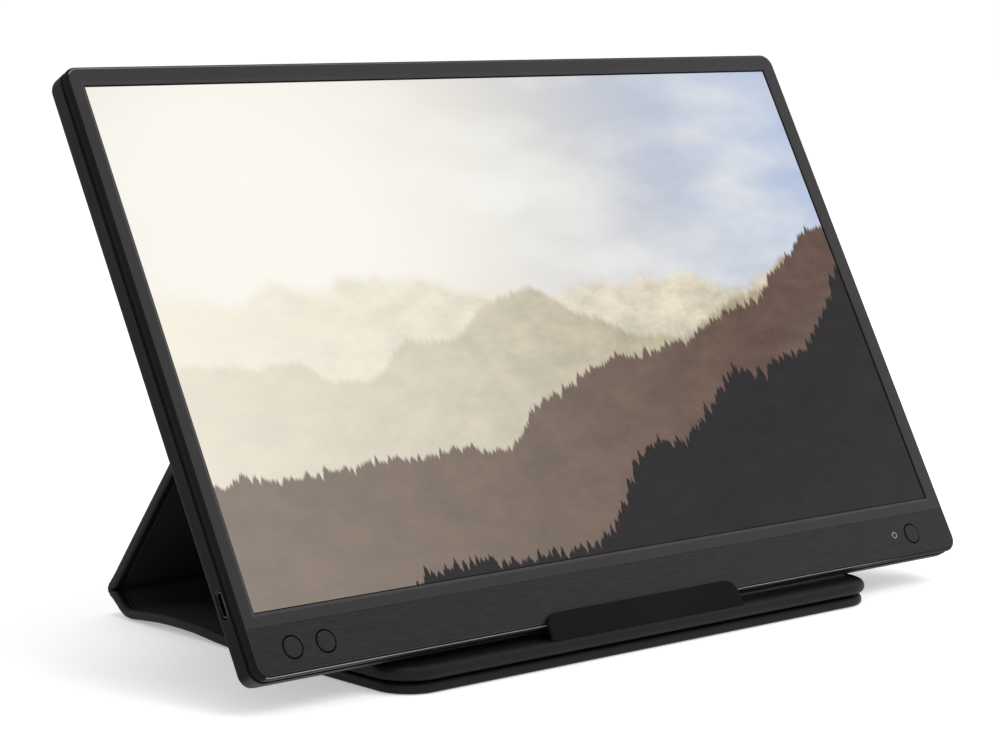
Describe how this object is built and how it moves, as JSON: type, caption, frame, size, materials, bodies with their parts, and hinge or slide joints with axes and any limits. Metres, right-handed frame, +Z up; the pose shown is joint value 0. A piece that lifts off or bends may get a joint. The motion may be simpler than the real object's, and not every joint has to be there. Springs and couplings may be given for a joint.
{
  "type": "portable monitor with cover",
  "caption": "Slim portable display leaning on its folding leatherette cover, with a stop lip, chin push buttons and a side USB-C inlet.",
  "frame": {"origin": "on the table, under the middle of the whole object standing on its cover", "axes": "+X to the right as seen by the viewer, +Y from the viewer to the back, +Z up"},
  "size_m": [0.3588, 0.174, 0.209],
  "materials": {
    "case_plastic": "fine moulded texture, charcoal black",
    "chin_brushed": "fine horizontal hairline brushing, charcoal",
    "button_plastic": "fine horizontal hairline brushing, charcoal",
    "screen_glass": "anti-glare display surface",
    "optical_film": "translucent white film",
    "light_guide_acrylic": "clear acrylic with a printed dot pattern",
    "reflector_film": "white reflective film",
    "led_strip": "white strip with yellow phosphor windows",
    "sheet_metal": "thin rolled sheet",
    "circuit_board": "green solder mask with copper tracks",
    "chip_resin": "moulded epoxy",
    "inductor_ferrite": "pressed ferrite",
    "connector_plastic": "moulded cream plastic",
    "port_metal": "drawn steel shell, satin",
    "port_tongue_plastic": "black moulded tongue with contacts",
    "switch_plastic": "black moulded",
    "flat_cable": "polyimide film with copper tracks",
    "panel_ribbon": "white flat cable with a blue stiffener",
    "screw_steel": "zinc plated",
    "foam": "open cell foam",
    "tape": "double-sided foam tape",
    "cover_leather": "fine grained black leatherette",
    "cover_lining": "brushed microfibre, black",
    "cover_board": "grey stiffening board"
  },
  "bodies": {
    "base": {"base_skin": "cover_leather", "base_board": "cover_board", "base_lining": "cover_lining", "tray_bond": "tape", "tray_skin": "cover_leather", "tray_board": "cover_board", "tray_lining": "cover_lining", "lip_skin": "cover_leather", "lip_core": "cover_board", "base_fold_roll": "cover_leather"},
    "spine": {"spine_skin": "cover_leather", "spine_board": "cover_board", "spine_lining": "cover_lining", "rear_fold_roll": "cover_leather"},
    "strut": {"strut_skin": "cover_leather", "strut_board": "cover_board", "strut_lining": "cover_lining", "strut_fold_roll": "cover_leather"},
    "monitor": {"front_frame": "case_plastic", "chin_trim": "chin_brushed", "rear_cover": "case_plastic", "lcd_glass": "screen_glass", "diffuser_sheets": "optical_film", "light_guide": "light_guide_acrylic", "reflector_sheet": "reflector_film", "led_bar": "led_strip", "panel_tray": "sheet_metal", "panel_driver_board": "circuit_board", "panel_cable": "panel_ribbon", "panel_pads": "foam", "main_board": "circuit_board", "scaler_chip": "chip_resin", "power_chip": "chip_resin", "power_inductors": "inductor_ferrite", "board_connectors": "connector_plastic", "usb_c_shell": "port_metal", "usb_c_tongue": "port_tongue_plastic", "left_button_board": "circuit_board", "power_button_board": "circuit_board", "button_switches": "switch_plastic", "left_button_flex": "flat_cable", "power_button_flex": "flat_cable", "board_screws": "screw_steel", "mount_tape": "tape", "mount_skin": "cover_leather", "mount_board": "cover_board", "mount_lining": "cover_lining"},
    "menu_button": {"menu_button": "button_plastic"},
    "source_button": {"source_button": "button_plastic"},
    "power_button": {"power_button": "button_plastic"}
  },
  "joints": [
    {"name": "spine_fold", "type": "hinge", "parent": "base", "child": "spine", "pos_m": [0, 0.07484, 0.001], "axis": [-1, 0, 0], "range_deg": [0, 37.01]},
    {"name": "strut_fold", "type": "hinge", "parent": "spine", "child": "strut", "pos_m": [0, 0.08603, 0.00942], "axis": [-1, 0, 0], "range_deg": [0, 89.85]},
    {"name": "monitor_fold", "type": "hinge", "parent": "strut", "child": "monitor", "pos_m": [0, -0.00028, 0.12458], "axis": [1, 0, 0], "range_deg": [0, 66.16]},
    {"name": "menu_button_press", "type": "slide", "parent": "monitor", "child": "menu_button", "axis": [0, 0.8721, -0.4894], "range_m": [0, 0.0005], "stiffness_N_per_m": 2500},
    {"name": "source_button_press", "type": "slide", "parent": "monitor", "child": "source_button", "axis": [0, 0.8721, -0.4894], "range_m": [0, 0.0005], "stiffness_N_per_m": 2500},
    {"name": "power_button_press", "type": "slide", "parent": "monitor", "child": "power_button", "axis": [0, 0.8721, -0.4894], "range_m": [0, 0.0005], "stiffness_N_per_m": 2500}
  ],
  "couplings": [
    {"joint": "spine_fold", "follows": "strut_fold", "ratio": 0.4118},
    {"joint": "monitor_fold", "follows": "strut_fold", "ratio": 0.73623}
  ]
}
